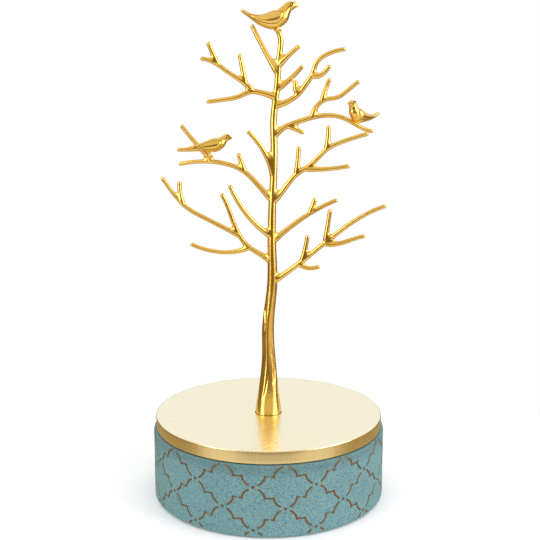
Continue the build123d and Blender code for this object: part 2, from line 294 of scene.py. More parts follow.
def make_leatherette():
    """Teal coated cloth: pebbled grain from warped cells, paler on the crowns, with slow patches of tone, a
    thin worn sheen on the high spots, and a band of painted shade below the rim, darkest at the top."""
    material, tree, shader = finish("Teal leatherette", {"Specular IOR Level": 0.42})
    spot = place(tree, "ShaderNodeTexCoord", {}).outputs["Object"]
    warp = 0.0011
    drift = place(tree, "ShaderNodeTexNoise", {"Vector": spot, "Scale": 900.0, "Detail": 1.0})
    carried = place(tree, "ShaderNodeVectorMath", {
        0: drift.outputs["Color"], 1: (warp, warp, warp), 2: spot}, operation="MULTIPLY_ADD")
    pebbles = place(tree, "ShaderNodeTexVoronoi", {
        "Vector": carried.outputs[0], "Scale": 1000.0, "Smoothness": 0.4}, feature="SMOOTH_F1")
    pores = place(tree, "ShaderNodeTexNoise", {"Vector": spot, "Scale": 2600.0, "Detail": 2.0})
    patches = place(tree, "ShaderNodeTexNoise", {"Vector": spot, "Scale": 55.0, "Detail": 3.0})
    crowns = place(tree, "ShaderNodeMath", {0: pebbles.outputs["Distance"], 1: -0.75, 2: 1.0},
                   operation="MULTIPLY_ADD")
    share = place(tree, "ShaderNodeMath", {0: patches.outputs["Fac"], 1: 0.15}, operation="MULTIPLY")
    tone = place(tree, "ShaderNodeMath", {0: crowns.outputs[0], 1: 0.70, 2: share.outputs[0]},
                 operation="MULTIPLY_ADD")
    colour = shades(tree, tone.outputs[0], [
        (0.34, (0.118, 0.252, 0.272)), (0.55, (0.184, 0.355, 0.376)), (0.76, (0.270, 0.455, 0.470))])
    up = place(tree, "ShaderNodeSeparateXYZ", {"Vector": spot}).outputs["Z"]
    # Painted shade: towards the rim the colour is mixed towards a dark teal, standing in for the shade under
    # the lid.
    rim_shade_share = place(tree, "ShaderNodeMapRange", {
        "Value": up, "From Min": rim_shade_start / 1000, "From Max": rim_shade_full / 1000, "To Max": 0.34,
    }, interpolation_type="SMOOTHSTEP")
    rim_shaded_colour = place(tree, "ShaderNodeMix", {
        "Factor": rim_shade_share.outputs[0], 6: colour, 7: (0.05, 0.10, 0.11, 1)}, data_type="RGBA")
    tree.links.new(rim_shaded_colour.outputs[2], shader.inputs["Base Color"])
    gloss = shades(tree, crowns.outputs[0], [(0.3, (0.72, 0.72, 0.72)), (0.9, (0.46, 0.46, 0.46))])
    tree.links.new(gloss, shader.inputs["Roughness"])
    grain = place(tree, "ShaderNodeMath", {0: pores.outputs["Fac"], 1: 0.35, 2: crowns.outputs[0]},
                  operation="MULTIPLY_ADD")
    dented(tree, shader, grain.outputs[0], 0.0005)
    return material


leatherette = make_leatherette()
wrap_outline = eased([
    (wrap_reach - wrap_turn_under, wrap_foot),
    (wrap_reach, wrap_foot),
    (wrap_reach, wrap_rim),
    (mouth, wrap_rim),
    (mouth, wrap_rim - wrap_turn_in),
    (wall_inside, wrap_rim - wrap_turn_in),
    (wall_inside, wrap_rim - wrap_skin),
    (wrap_reach - wrap_skin, wrap_rim - wrap_skin),
    (wrap_reach - wrap_skin, wrap_foot + wrap_skin),
    (wrap_reach - wrap_turn_under, wrap_foot + wrap_skin),
], rounds=[
    cut_edge, foot_round, rim_round, rim_round, cut_edge, 0, board_rim, board_rim, board_foot, 0,
], spacing=1.5)
by_the_seam = np.pi + np.linspace(-seam_reach, seam_reach, seam_columns) * seam_half_width / wrap_reach
wrap_angles = np.unique(np.concatenate([np.mod(all_round, 2 * np.pi), by_the_seam]))
wrap_grid = turned(wrap_outline, wrap_angles)
seam_dip = seam_depth * np.exp(-((wrap_angles - np.pi) * wrap_reach / seam_half_width) ** 2)
outside = np.clip((wrap_outline[:, :1] - wrap_reach + seam_fade) / seam_fade, 0, 1)
wrap_grid[..., :2] *= 1 - (seam_dip * outside / wrap_reach)[..., None]
piece("leatherette_covering", [(wrap_grid, True)], "box", leatherette, ["leather_wrap"])


# Trellis print
# Thin brown-gold foil lines stamped on the leatherette: a traditional trellis of barbed quatrefoils, with
# a dot in the gap where four cells meet. The print is cut off at the foot, the rim and the back seam.

cell_half_turn = np.radians(14.43)
cell_rise = 13.3
first_turn = np.radians(-6.8)
first_height = 5.3
print_rows = range(-1, 4)
print_columns = range(-14, 15)
print_foot = 2.0
print_over_rim = 1.2
print_seam_gap = 0.8
print_rim = wrap_rim + print_over_rim
print_end = np.pi * wrap_reach - print_seam_gap
line_width = 1.3
line_lift = 0.05
line_edge_lift = 0.015
line_shoulder = 0.72
line_sunk = 0.12
least_corner = 0.55
lowest_dot = 2.5
dot_reach = 1.0
dot_sides = 20
dot_rings = [(0.35, 1.0), (0.7, 0.9), (0.92, 0.6), (1.0, 0.2), (1.0, -2.0)]
barb_in = 0.36
barb_up = 0.515
arc_lean = np.radians(30)
arc_steps = 18
dot_gap = 2.5
bare_gap = 0.8


def on_the_wall(along, height, lift):
    """Point of the covering's outside from the arc length round it and the height up it, carried over the
    rim's round once the height passes the round's start, and lifted off along the outward direction."""
    straight = wrap_rim - rim_round
    over = np.clip((height - straight) / rim_round, 0, np.pi / 2)
    reach = wrap_reach - rim_round + (rim_round + lift) * np.cos(over)
    up = np.minimum(height, straight) + (rim_round + lift) * np.sin(over)
    angle = along / wrap_reach
    return np.stack([reach * np.sin(angle), -reach * np.cos(angle), up], axis=-1)


def cell_side():
    """One side of a cell from a dot to the next, in cell shares: an arc that leaves the dot at a slant and
    ends upright, a level barb across the middle, and the same arc turned half round."""
    lean = np.linspace(arc_lean, np.pi / 2, arc_steps)
    across = barb_in * (np.sin(lean) - np.sin(arc_lean)) / (1 - np.sin(arc_lean))
    up = barb_up * (np.cos(arc_lean) - np.cos(lean)) / np.cos(arc_lean)
    first = np.stack([across, up], axis=1)
    return np.concatenate([first, 1 - first[::-1]])


def stamped_line(path):
    """Flat-topped line along a path on the wall: at each point half the width to either side, measured
    square to the mean of the two runs and lengthened at corners by 1 / cos(half the turn). At sharp corners
    that cosine counts as the least one."""
    runs = np.diff(path, axis=0)
    runs /= np.linalg.norm(runs, axis=1, keepdims=True)
    before = np.concatenate([runs[:1], runs])
    after = np.concatenate([runs, runs[-1:]])
    mean = before + after
    mean /= np.linalg.norm(mean, axis=1, keepdims=True)
    square = np.stack([-mean[:, 1], mean[:, 0]], axis=1)
    half = line_width / 2 / np.maximum((mean * after).sum(axis=1), least_corner)[:, None]
    sides = np.array([1.0, line_shoulder, -line_shoulder, -1.0, -1.0, 1.0])
    lifts = np.array([line_edge_lift, line_lift, line_lift, line_edge_lift, -line_sunk, -line_sunk])
    spread = path[:, None, :] + sides[None, :, None] * (square * half)[:, None, :]
    return on_the_wall(spread[..., 0], spread[..., 1], lifts[None, :])


def stamped_dot(along, height):
    """Domed dot on the wall: rings of (share of the reach, share of the lift) whose lift falls off towards
    the dot's edge, then a rim that is sunk into the covering."""
    ring = np.linspace(0, 2 * np.pi, dot_sides, endpoint=False)
    out, up = np.array(dot_rings).T[..., None]
    reach, lift = dot_reach * out, line_lift * up
    return on_the_wall(along + reach * np.cos(ring), height + reach * np.sin(ring), lift + 0 * ring)


def make_foil():
    """Brown-gold foil: rubbed thin in specks so that its tone wanders."""
    material, tree, shader = finish("Brown-gold foil", {"Metallic": 0.35})
    spot = place(tree, "ShaderNodeTexCoord", {}).outputs["Object"]
    rubbed = place(tree, "ShaderNodeTexNoise", {"Vector": spot, "Scale": 1400.0, "Detail": 3.0})
    tone = shades(tree, rubbed.outputs["Fac"], [
        (0.32, (0.120, 0.072, 0.026)), (0.55, (0.190, 0.114, 0.043)), (0.75, (0.275, 0.178, 0.076))])
    tree.links.new(tone, shader.inputs["Base Color"])
    gloss = shades(tree, rubbed.outputs["Fac"], [(0.3, (0.38, 0.38, 0.38)), (0.7, (0.6, 0.6, 0.6))])
    tree.links.new(gloss, shader.inputs["Roughness"])
    dented(tree, shader, rubbed.outputs["Fac"], 0.00008)
    return material


foil = make_foil()
side_path = cell_side()
stamped = []
for row in print_rows:
    for column in print_columns:
        if (row + column) % 2:
            continue
        along = wrap_reach * (first_turn + cell_half_turn * column)
        height = first_height + cell_rise * row
        dotted = [lowest_dot < level < wrap_rim for level in (height, height + cell_rise)]
        start_gap, end_gap = (dot_gap if shown else bare_gap for shown in dotted)
        if dotted[0] and abs(along) < print_end - dot_reach:
            stamped.append((stamped_dot(along, height), False))
        for hand in (-1, 1):
            path = np.stack([
                along + hand * side_path[:, 0] * cell_half_turn * wrap_reach,
                height + side_path[:, 1] * cell_rise,
            ], axis=1)
            from_start = np.hypot(path[:, 0] - path[0, 0], path[:, 1] - path[0, 1])
            from_end = np.hypot(path[:, 0] - path[-1, 0], path[:, 1] - path[-1, 1])
            printed = (from_start > start_gap) & (from_end > end_gap) & (np.abs(path[:, 0]) < print_end)
            printed &= (path[:, 1] > print_foot) & (path[:, 1] < print_rim)
            if printed.sum() > 2:
                stamped.append((stamped_line(path[printed]), False))
piece("trellis_print", stamped, "box", foil)


# Wall lining
# Grey velvet on a strip of card, sprung into the box and glued to the wall below the turned-in edge of
# the leatherette.

velvet = cloth("Grey velvet", pile, 2200.0, (0.22, 0.21, 0.20), (0.40, 0.385, 0.37), 0.00025,
               {"Roughness": 0.9, "Specular IOR Level": 0.15, "Sheen Weight": 0.45, "Sheen Roughness": 0.4})
lining_low, lining_high = node_box("wall_lining")
lining_thick = 1.0
lining_foot_round = 0.1
lining_back_round = 0.4
lining_top_round = 0.45
lining_outside = lining_high[0]
lining_inside = lining_outside - lining_thick
lining_outline = eased([
    (lining_inside, lining_low[2]), (lining_outside, lining_low[2]),
    (lining_outside, lining_high[2]), (lining_inside, lining_high[2]),
], rounds=[lining_foot_round, lining_foot_round, lining_back_round, lining_top_round], spacing=1.5)
piece("velvet_lining", [(turned(lining_outline, all_round), True)], "box", velvet, ["wall_lining"])


# Floor cushion
# A thin foam pad in grey velvet that jewellery lies on. The velvet is drawn over the foam and gathered
# underneath, so the pad is plump and its edge puckers a little.

cushion_low, cushion_high = node_box("floor_cushion")
cushion_reach = cushion_high[0]
cushion_side = 1.5
cushion_cap = 0.9
cushion_rows = 40
cushion_side_rows = 18
cushion_middle = 0.02
cushion_voxel = 1.6
blow_steps = 20
blow_pressure = 4.0


def foam_pad():
    """Pad before the velvet is drawn over it, from its underside's middle to its top's middle: both are flat
    and the side between them is half an ellipse."""
    share = np.linspace(cushion_middle, 1, cushion_rows)
    lean = np.linspace(-np.pi / 2, np.pi / 2, cushion_side_rows)
    flat = cushion_reach - cushion_cap - cushion_side
    thick = cushion_high[2] - cushion_low[2] - cushion_cap
    below = np.stack([share * flat, 0 * share], axis=1)
    side = np.stack([flat + cushion_side * np.cos(lean), thick * (1 + np.sin(lean)) / 2], axis=1)
    grid = turned(np.concatenate([below, side[1:-1], below[::-1] + (0, thick)]), all_round)
    grid[..., 2] += cushion_low[2]
    return grid


def spots_of(mesh):
    """Places of a mesh's corners, in metres."""
    spots = np.empty(3 * len(mesh.vertices))
    mesh.vertices.foreach_get("co", spots)
    return spots.reshape(-1, 3)


def move_to(mesh, spots):
    """Puts a mesh's corners at the spots."""
    mesh.vertices.foreach_set("co", spots.ravel())
    mesh.update()


def one_skin(name, mesh, voxel):
    """The outer skin of overlapping forms, remeshed into even quads of about the voxel's size."""
    rough = bpy.data.objects.new(name, mesh)
    bpy.context.scene.collection.objects.link(rough)
    skin = rough.modifiers.new("Skin", "REMESH")
    skin.mode = "VOXEL"
    skin.voxel_size = voxel / 1000
    seen = rough.evaluated_get(bpy.context.evaluated_depsgraph_get())
    result = bpy.data.meshes.new_from_object(seen)
    bpy.data.objects.remove(rough)
    bpy.data.meshes.remove(mesh)
    result.name = name
    return result


def plumped(solid):
    """Mesh of a pad blown up from inside as weightless cloth, step by step. No spot moves further than the
    cap, and none leaves the room between the floor of the box and the pad's full height."""
    mesh = one_skin("velvet_cushion", solid, cushion_voxel)
    before = spots_of(mesh)
    pad = bpy.data.objects.new("plump", mesh)
    bpy.context.scene.collection.objects.link(pad)
    velvet_skin = pad.modifiers.new("Velvet", "CLOTH").settings
    velvet_skin.use_pressure = True
    velvet_skin.uniform_pressure_force = blow_pressure
    velvet_skin.effector_weights.gravity = 0.0
    for step in range(1, blow_steps + 1):
        bpy.context.scene.frame_set(step)
    blown = pad.evaluated_get(bpy.context.evaluated_depsgraph_get()).to_mesh()
    move = spots_of(blown) - before
    bpy.data.objects.remove(pad)
    bpy.context.scene.frame_set(1)
    far = np.linalg.norm(move, axis=1, keepdims=True)
    move *= np.minimum(1, cushion_cap / 1000 / np.maximum(far, 1e-9))
    after = before + move
    after[:, 2] = np.clip(after[:, 2], cushion_low[2] / 1000, cushion_high[2] / 1000)
    move_to(mesh, after)
    mesh.shade_smooth()
    return mesh


cushion_mesh = plumped(closed_mesh("foam_pad", [(foam_pad(), False)]))
cushion = fitted("velvet_cushion", cushion_mesh, "box", velvet, ["floor_cushion"])
rounding = cushion.modifiers.new("Rounding", "SUBSURF")
rounding.levels = 1
rounding.render_levels = 1


# Lid cap
# A drawn sheet-metal cap in pale gold with a short skirt. The top and the skirt are brushed, the skirt
# upright, and the edge between them is burnished. The top is painted paler than the skirt, as painted
# reflection.

cap_low, cap_high = node_box("lid_cap")
cap_reach = cap_high[0]
rim_gap = 0.6
cap_skirt = cap_low[2] + rim_gap
cap_top = cap_high[2]
cap_sheet = 1.2
cap_round = 0.8
cap_inner_round = 0.3
skirt_edge = 0.2
skirt_inner_edge = 0.1
cap_hole = 2.9
top_stretch = (90.0, 2600.0, 90.0)
skirt_stretch = (2400.0, 2400.0, 60.0)


def make_polish():
    """Handled metal: a slow haze of finger marks and polish, and the small unevenness of its surface."""
    polish = bpy.data.node_groups.new("Handled metal", "ShaderNodeTree")
    polish.interface.new_socket("Unevenness", in_out="INPUT", socket_type="NodeSocketFloat")
    polish.interface.new_socket("Haze", in_out="OUTPUT", socket_type="NodeSocketFloat")
    polish.interface.new_socket("Height", in_out="OUTPUT", socket_type="NodeSocketFloat")
    given = polish.nodes.new("NodeGroupInput")
    result = polish.nodes.new("NodeGroupOutput")
    spot = place(polish, "ShaderNodeTexCoord", {}).outputs["Object"]
    marks = place(polish, "ShaderNodeTexNoise", {
        "Vector": spot, "Scale": 45.0, "Detail": 4.0, "Roughness": 0.6, "Distortion": 0.8})
    waves = place(polish, "ShaderNodeTexNoise", {
        "Vector": spot, "Scale": given.outputs["Unevenness"], "Detail": 2.0})
    polish.links.new(marks.outputs["Fac"], result.inputs["Haze"])
    polish.links.new(waves.outputs["Fac"], result.inputs["Height"])
    return polish


def make_lid_metal(polish):
    """Brushed pale gold: streaks that run along X on the top and upright on the skirt, told apart by how far
    the surface faces up, over the handled-metal haze. The top's gold is painted paler than the skirt's, a
    painted reflection of the bright light that the top faces."""
    material, tree, shader = finish("Brushed pale gold", {"Metallic": 1.0})
    spot = place(tree, "ShaderNodeTexCoord", {}).outputs["Object"]
    facing = place(tree, "ShaderNodeNewGeometry", {}).outputs["Normal"]
    facing_up = place(tree, "ShaderNodeSeparateXYZ", {"Vector": facing}).outputs["Z"]
    streaks = []
    for stretch in (top_stretch, skirt_stretch):
        drawn = place(tree, "ShaderNodeVectorMath", {0: spot, 1: stretch}, operation="MULTIPLY")
        streak = place(tree, "ShaderNodeTexNoise", {
            "Vector": drawn.outputs[0], "Scale": 1.0, "Detail": 3.0, "Roughness": 0.65})
        streaks.append(streak.outputs["Fac"])
    on_top, on_skirt = streaks
    brushed = place(tree, "ShaderNodeMix", {0: facing_up, 2: on_skirt, 3: on_top}, data_type="FLOAT")
    handled = place(tree, "ShaderNodeGroup", {}, node_tree=polish)
    handled.inputs["Unevenness"].default_value = 300.0
    skirt = shades(tree, brushed.outputs[0], [
        (0.25, (0.78, 0.57, 0.23)), (0.50, (0.85, 0.655, 0.31)), (0.75, (0.90, 0.73, 0.40))])
    # Painted reflection: the top gets a paler copy of the skirt's gold, chosen by how far the surface faces
    # up.
    top = shades(tree, brushed.outputs[0], [
        (0.25, (0.90, 0.835, 0.61)), (0.50, (0.935, 0.88, 0.665)), (0.75, (0.965, 0.92, 0.72))])
    tone = place(tree, "ShaderNodeMix", {"Factor": facing_up, 6: skirt, 7: top}, data_type="RGBA")
    tree.links.new(tone.outputs[2], shader.inputs["Base Color"])
    hazed = place(tree, "ShaderNodeMath", {0: handled.outputs["Haze"], 1: 0.12}, operation="MULTIPLY")
    scratched = place(tree, "ShaderNodeMath", {0: brushed.outputs[0], 1: 0.20, 2: hazed.outputs[0]},
                      operation="MULTIPLY_ADD")
    gloss = place(tree, "ShaderNodeMath", {0: scratched.outputs[0], 1: 0.11}, operation="ADD")
    tree.links.new(gloss.outputs[0], shader.inputs["Roughness"])
    dented(tree, shader, brushed.outputs[0], 0.00001, 0.08)
    return material


polish = make_polish()
lid_metal = make_lid_metal(polish)
cap_outline = eased([
    (cap_reach - cap_sheet, cap_skirt),
    (cap_reach, cap_skirt),
    (cap_reach, cap_top),
    (cap_hole, cap_top),
    (cap_hole, cap_top - cap_sheet),
    (cap_reach - cap_sheet, cap_top - cap_sheet),
], rounds=[skirt_inner_edge, skirt_edge, cap_round, 0, 0, cap_inner_round], spacing=2.0)
piece("lid_metal_cap", [(turned(cap_outline, all_round), True)], "lid", lid_metal, ["lid_cap"])


# Lid panel
# A fibreboard disc in the same grey velvet, glued under the lid. It drops into the mouth of the box and
# keeps the lid in place.

panel_low, panel_high = node_box("lid_panel")
panel_reach = panel_high[0]
panel_round = 1.2
panel_back_round = 0.2
panel_outline = eased([
    (disc_middle, panel_low[2]), (panel_reach, panel_low[2]),
    (panel_reach, panel_high[2]), (disc_middle, panel_high[2]),
], rounds=[0, panel_round, panel_back_round, 0], spacing=2.0, closed=False)
piece("velvet_lid_panel", [(turned(panel_outline, all_round), False)], "lid", velvet, ["lid_panel"])


# Screw and washer
# A zinc-plated steel socket screw with a flat washer, driven up through the lid into the trunk and
# hidden by the velvet panel.

def make_zinc(polish):
    """Zinc-plated steel: grey with a faint cool cast, hazed by handling."""
    material, tree, shader = finish("Zinc-plated steel", {"Metallic": 1.0})
    handled = place(tree, "ShaderNodeGroup", {}, node_tree=polish)
    handled.inputs["Unevenness"].default_value = 900.0
    tone = shades(tree, handled.outputs["Haze"], [(0.3, (0.46, 0.47, 0.49)), (0.7, (0.60, 0.61, 0.62))])
    gloss = shades(tree, handled.outputs["Haze"], [(0.3, (0.28, 0.28, 0.28)), (0.7, (0.42, 0.42, 0.42))])
    tree.links.new(tone, shader.inputs["Base Color"])
    tree.links.new(gloss, shader.inputs["Roughness"])
    dented(tree, shader, handled.outputs["Height"], 0.00004)
    return material


zinc = make_zinc(polish)
for node in ("screw_washer", "trunk_screw"):
    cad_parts[node].data.materials.clear()
    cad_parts[node].data.materials.append(zinc)


# Tree
# A trunk with thirteen limbs, cast in zinc alloy, brazed together, filled and dressed at the joints until
# they flow into each other, then polished and plated gold. Root folds run up the lower trunk.

lid_top = cap_top
merge_steps = 2e6
key_half = 2 ** 20
key_span = 2 ** 21
joint_voxel = 0.52
web_reach = 1.05
web_sunk = 0.12
web_sunk_on_roots = 0.6
even_step = 0.5
even_back = 0.52
skin_rounds = 4
web_rounds = 8
fill_rounds = 60
dress_rounds = 16
settle_near = 0.06
settle_far = 0.18
roots_end = 74
roots_fade = 8
root_folds = [
    [(8.7, -33), (14.5, -22), (21.0, -13), (29.0, -7)],
    [(17.0, 29), (23.0, 40), (29.0, 44), (36.0, 41), (44.0, 28)],
    [(52.0, -33), (59.0, -27), (66.0, -52), (72.0, -66)],
    [(10.0, 96), (20.0, 108), (34.0, 117), (46.0, 112)],
    [(14.0, 168), (26.0, 178), (38.0, 186), (50.0, 180)],
    [(9.0, 238), (17.0, 248), (27.0, 254), (40.0, 250)],
]
foot_forward = 3.5
foot_lean_height = 40.0
fold_width = 0.62
fold_depth = 0.5
fold_taper = 0.25
fold_foot = 1.0
fold_margin = 1.5
shoulder_height = 0.45
shoulder_aside = 1.5
shoulder_width = 1.1
trunk_line = np.array([
    (0.0, -0.2, 8.6), (4.0, -0.2, 8.2), (12.0, 0.0, 7.0), (22.0, 0.2, 5.8), (38.0, 0.2, 4.5),
    (55.0, -0.3, 4.0), (70.0, 0.9, 3.6), (84.0, 2.3, 3.3), (100.0, 2.3, 2.95),
])


def joined_copy(nodes):
    """Triangles of several CAD nodes as one mesh with its doubled corners merged: corners that round to the
    same step along all three axes, with so many steps to the metre, have one key and become one corner."""
    corners, triangles, start = [], [], 0
    for node in nodes:
        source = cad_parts[node].data
        source.calc_loop_triangles()
        index = np.empty(3 * len(source.loop_triangles), np.int32)
        source.loop_triangles.foreach_get("vertices", index)
        corners.append(spots_of(source))
        triangles.append(index.reshape(-1, 3) + start)
        start += len(source.vertices)
    corners = np.concatenate(corners)
    triangles = np.concatenate(triangles)
    steps = np.round(corners * merge_steps).astype(np.int64) + key_half
    keys = (steps[:, 0] * key_span + steps[:, 1]) * key_span + steps[:, 2]
    _, first, index = np.unique(keys, return_index=True, return_inverse=True)
    triangles = index[triangles]
    whole = (triangles[:, 0] != triangles[:, 1]) & (triangles[:, 1] != triangles[:, 2])
    whole &= triangles[:, 2] != triangles[:, 0]
    mesh = bpy.data.meshes.new("joined_castings")
    mesh.from_pydata(corners[first].tolist(), [], triangles[whole].tolist())
    return mesh


def dressed(mesh, hollows, rounds, guard):
    """Spots of a mesh whose hollows are filled like a dressed joint and whose surface is then evened. Filling
    moves a spot half way to its neighbours' middle along the normal, only where that is outwards, times the
    guard. Evening moves every spot half way to that middle and then a little further back."""
    count = len(mesh.vertices)
    spots = spots_of(mesh)
    ends = np.empty(2 * len(mesh.edges), np.int32)
    mesh.edges.foreach_get("vertices", ends)
    one, other = ends.reshape(-1, 2).T
    near, far = np.concatenate([one, other]), np.concatenate([other, one])
    links = np.bincount(near, minlength=count)[:, None]

    def middles(points):
        return np.stack([np.bincount(near, points[far, axis], count) for axis in range(3)], axis=1) / links

    normals = np.empty(3 * count, np.float32)
    for _ in range(hollows):
        move_to(mesh, spots)
        mesh.vertex_normals.foreach_get("vector", normals)
        outward = normals.reshape(-1, 3)
        lift = ((middles(spots) - spots) * outward).sum(axis=1, keepdims=True)
        spots = spots + even_step * np.maximum(lift, 0) * outward * guard(spots)[:, None]
    for _ in range(rounds):
        spots = spots + even_step * (middles(spots) - spots)
        spots = spots - even_back * (middles(spots) - spots)
    move_to(mesh, spots)
    return spots


def swelled(mesh, reach):
    """The mesh with its spots moved out along their normals by the reach, one value or one for each."""
    normals = np.empty(3 * len(mesh.vertices), np.float32)
    mesh.vertex_normals.foreach_get("vector", normals)
    move_to(mesh, spots_of(mesh) + np.reshape(reach, (-1, 1)) / 1000 * normals.reshape(-1, 3))
    return mesh


def webbed(name, nodes, voxel, reach):
    """One skin over castings, with a web in each corner between limbs: their skin is swelled by the reach,
    made one again and shrunk back, which rounds each corner to the reach. It is shrunk a little further, and
    more so on the lower trunk, so that the castings it is joined to stay outermost everywhere else."""
    skin = one_skin("web", joined_copy(nodes), voxel)
    dressed(skin, 0, skin_rounds, above_the_roots)
    skin = one_skin("web", swelled(skin, reach), voxel)
    spots = dressed(skin, 0, web_rounds, above_the_roots)
    swelled(skin, -reach - web_sunk - web_sunk_on_roots * (1 - above_the_roots(spots)))
    castings = joined_copy(nodes)
    both = bmesh.new()
    both.from_mesh(castings)
    both.from_mesh(skin)
    both.to_mesh(castings)
    both.free()
    bpy.data.meshes.remove(skin)
    return one_skin(name, castings, voxel)


def settle(mesh, castings, spots):
    """Moves spots of the skin back onto the castings' own surface where they lie near it, so that the rods
    are as even as they were cast: fully within the near limit, less up to the far limit, not on the webs."""
    shell = bmesh.new()
    shell.from_mesh(castings)
    surface = BVHTree.FromBMesh(shell)
    shell.free()
    bpy.data.meshes.remove(castings)
    found = [surface.find_nearest(spot) for spot in spots]
    gaps = 1000 * np.array([hit[3] for hit in found])
    share = np.clip((settle_far - gaps) / (settle_far - settle_near), 0, 1)[:, None]
    move_to(mesh, spots + share * (np.array([tuple(hit[0]) for hit in found]) - spots))


def above_the_roots(spots):
    """1 on the limbs and the upper trunk, falling to 0 on the lower trunk, which keeps its flutes."""
    rise = 1000 * spots[:, 2] - lid_top
    return np.clip((rise - roots_end) / roots_fade, 0, 1)


def fold_roots(mesh, spots):
    """Presses the root folds into the lower trunk: each spot moves towards the trunk's line by the fold's
    depth times a bell of its distance round the trunk from the fold, fading out at the fold's two ends.
    Beside the fold a lower, wider bell raises a shoulder."""
    rise = 1000 * spots[:, 2] - lid_top
    across = 1000 * spots[:, 0] - np.interp(rise, trunk_line[:, 0], trunk_line[:, 1])
    aft = 1000 * spots[:, 1] + foot_forward * np.clip(1 - rise / foot_lean_height, 0, 1) ** 2
    angle = np.arctan2(across, -aft)
    girth = np.interp(rise, trunk_line[:, 0], trunk_line[:, 2])
    press = np.zeros(len(spots))
    for fold in root_folds:
        heights, turns = np.array(fold, float).T
        turn = np.radians(np.interp(rise, heights, turns))
        aside = (angle - turn + np.pi) % (2 * np.pi) - np.pi
        share = np.clip((rise - heights[0]) / (heights[-1] - heights[0]), 0, 1)
        fade = np.clip(share / fold_taper, 0, 1) * np.clip((1 - share) / fold_taper, 0, 1)
        groove = np.exp(-(aside * girth / fold_width) ** 2)
        shoulder = shoulder_height * np.exp(-((aside * girth - shoulder_aside) / shoulder_width) ** 2)
        press = np.maximum(press, fade * fold_depth * groove) - fade * fold_depth * shoulder * (press == 0)
    inward = np.stack([-np.sin(angle), np.cos(angle), 0 * angle], axis=1)
    on_trunk = (np.hypot(across, aft) < girth + fold_margin) & (rise > fold_foot)
    move_to(mesh, spots + (press * on_trunk)[:, None] * inward / 1000)


def make_gold(polish):
    """Polished gold plate on a casting: warm gold whose gloss wanders with handling, over faint waves left
    by hand polishing."""
    material, tree, shader = finish("Polished gold plate", {"Metallic": 1.0})
    handled = place(tree, "ShaderNodeGroup", {}, node_tree=polish)
    handled.inputs["Unevenness"].default_value = 240.0
    tone = shades(tree, handled.outputs["Haze"], [
        (0.30, (0.85, 0.53, 0.110)), (0.52, (0.90, 0.59, 0.145)), (0.74, (0.94, 0.66, 0.200))])
    tree.links.new(tone, shader.inputs["Base Color"])
    gloss = shades(tree, handled.outputs["Haze"], [(0.25, (0.17, 0.17, 0.17)), (0.75, (0.26, 0.26, 0.26))])
    tree.links.new(gloss, shader.inputs["Roughness"])
    dented(tree, shader, handled.outputs["Height"], 0.00010, 0.25)
    return material


gold = make_gold(polish)
tree_nodes = ["trunk"] + sorted(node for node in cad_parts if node.startswith("limb_"))
tree_mesh = webbed("gold_tree", tree_nodes, joint_voxel, web_reach)
tree_spots = dressed(tree_mesh, fill_rounds, dress_rounds, above_the_roots)
settle(tree_mesh, joined_copy(tree_nodes), tree_spots)
tree_spots = dressed(tree_mesh, 0, skin_rounds, above_the_roots)
fold_roots(tree_mesh, tree_spots)
tree_mesh.shade_smooth()
tree_mesh.materials.clear()
fitted("gold_tree", tree_mesh, "lid", gold, tree_nodes)


# Birds
# Three solid castings in the same gold plate, brazed to their perches by the feet: a body that runs from
# a flat tail to a short beak, folded wings in relief, ringed eyes, and legs with three toes.

body_steps = 140
body_ring = 48
flank_steps = 400
least_flank = 0.02
thinnest = 0.05
thinnest_wing = 0.04
wing_steps = 60
wing_ring = 40
edge_steps = 40
wing_relief = 1.5
wing_sunk = 0.05
wing_flatness = 0.55
feather_grooves = (-0.45, 0.1, 0.55)
feather_width = 0.07
feather_depth = 0.22
cut_width = 0.24
cut_ring = 8
wire_ring = 10
eye_ring = 0.85
eye_ring_steps = 24
eye_bead = 0.27
eye_sunk = 0.02
pupil = [(-0.6, 0.42), (0.0, 0.40), (0.2, 0.15)]
rod_steps = 14
rod_ring = 12
rod_side = (0.31, 0.95, 0.05)
leg_spread = 0.6
hip_drop = 2.0
leg_radii = (1.0, 0.8, 0.85)
toes = [(2.1, 0.8), (2.3, 0.1), (-2.7, 0.2)]
toe_bend = 0.6
toe_rise = 0.2
toe_drop = 0.35
toe_radii = (0.6, 0.5, 0.36)


def through(stations, steps):
    """Even samples on a smooth line through stations: between two of them the cubic whose slopes there are
    half the step between the neighbours on either side."""
    stations = np.array(stations, float)
    padded = np.concatenate([2 * stations[:1] - stations[1:2], stations, 2 * stations[-1:] - stations[-2:-1]])
    place_on = np.linspace(0, len(stations) - 1, steps)
    index = np.minimum(place_on.astype(int), len(stations) - 2)
    t = (place_on - index)[:, None]
    a, b, c, d = (padded[index + k] for k in range(4))
    return b + 0.5 * t * (c - a + t * (2 * a - 5 * b + 4 * c - d + t * (3 * (b - c) + d - a)))


def headings(line):
    """Direction of a line at each of its points: the mean step to its neighbours, made one long."""
    step = np.gradient(line, axis=0)
    return step / np.linalg.norm(step, axis=1, keepdims=True)


def bird_body(stations):
    """Body from tail to beak: at each point (along, up) of its line an ellipse (half height, half width)
    square to the line. The line and both halves are smooth through the stations."""
    line = through(stations, body_steps)
    heading = headings(line[:, :2])
    ring = np.linspace(0, 2 * np.pi, body_ring, endpoint=False)
    tall, wide = np.maximum(line[:, 2:3], thinnest), np.maximum(line[:, 3:4], thinnest)
    return np.stack([
        line[:, :1] - heading[:, 1:] * tall * np.cos(ring),
        wide * np.sin(ring),
        line[:, 1:2] + heading[:, :1] * tall * np.cos(ring),
    ], axis=-1)


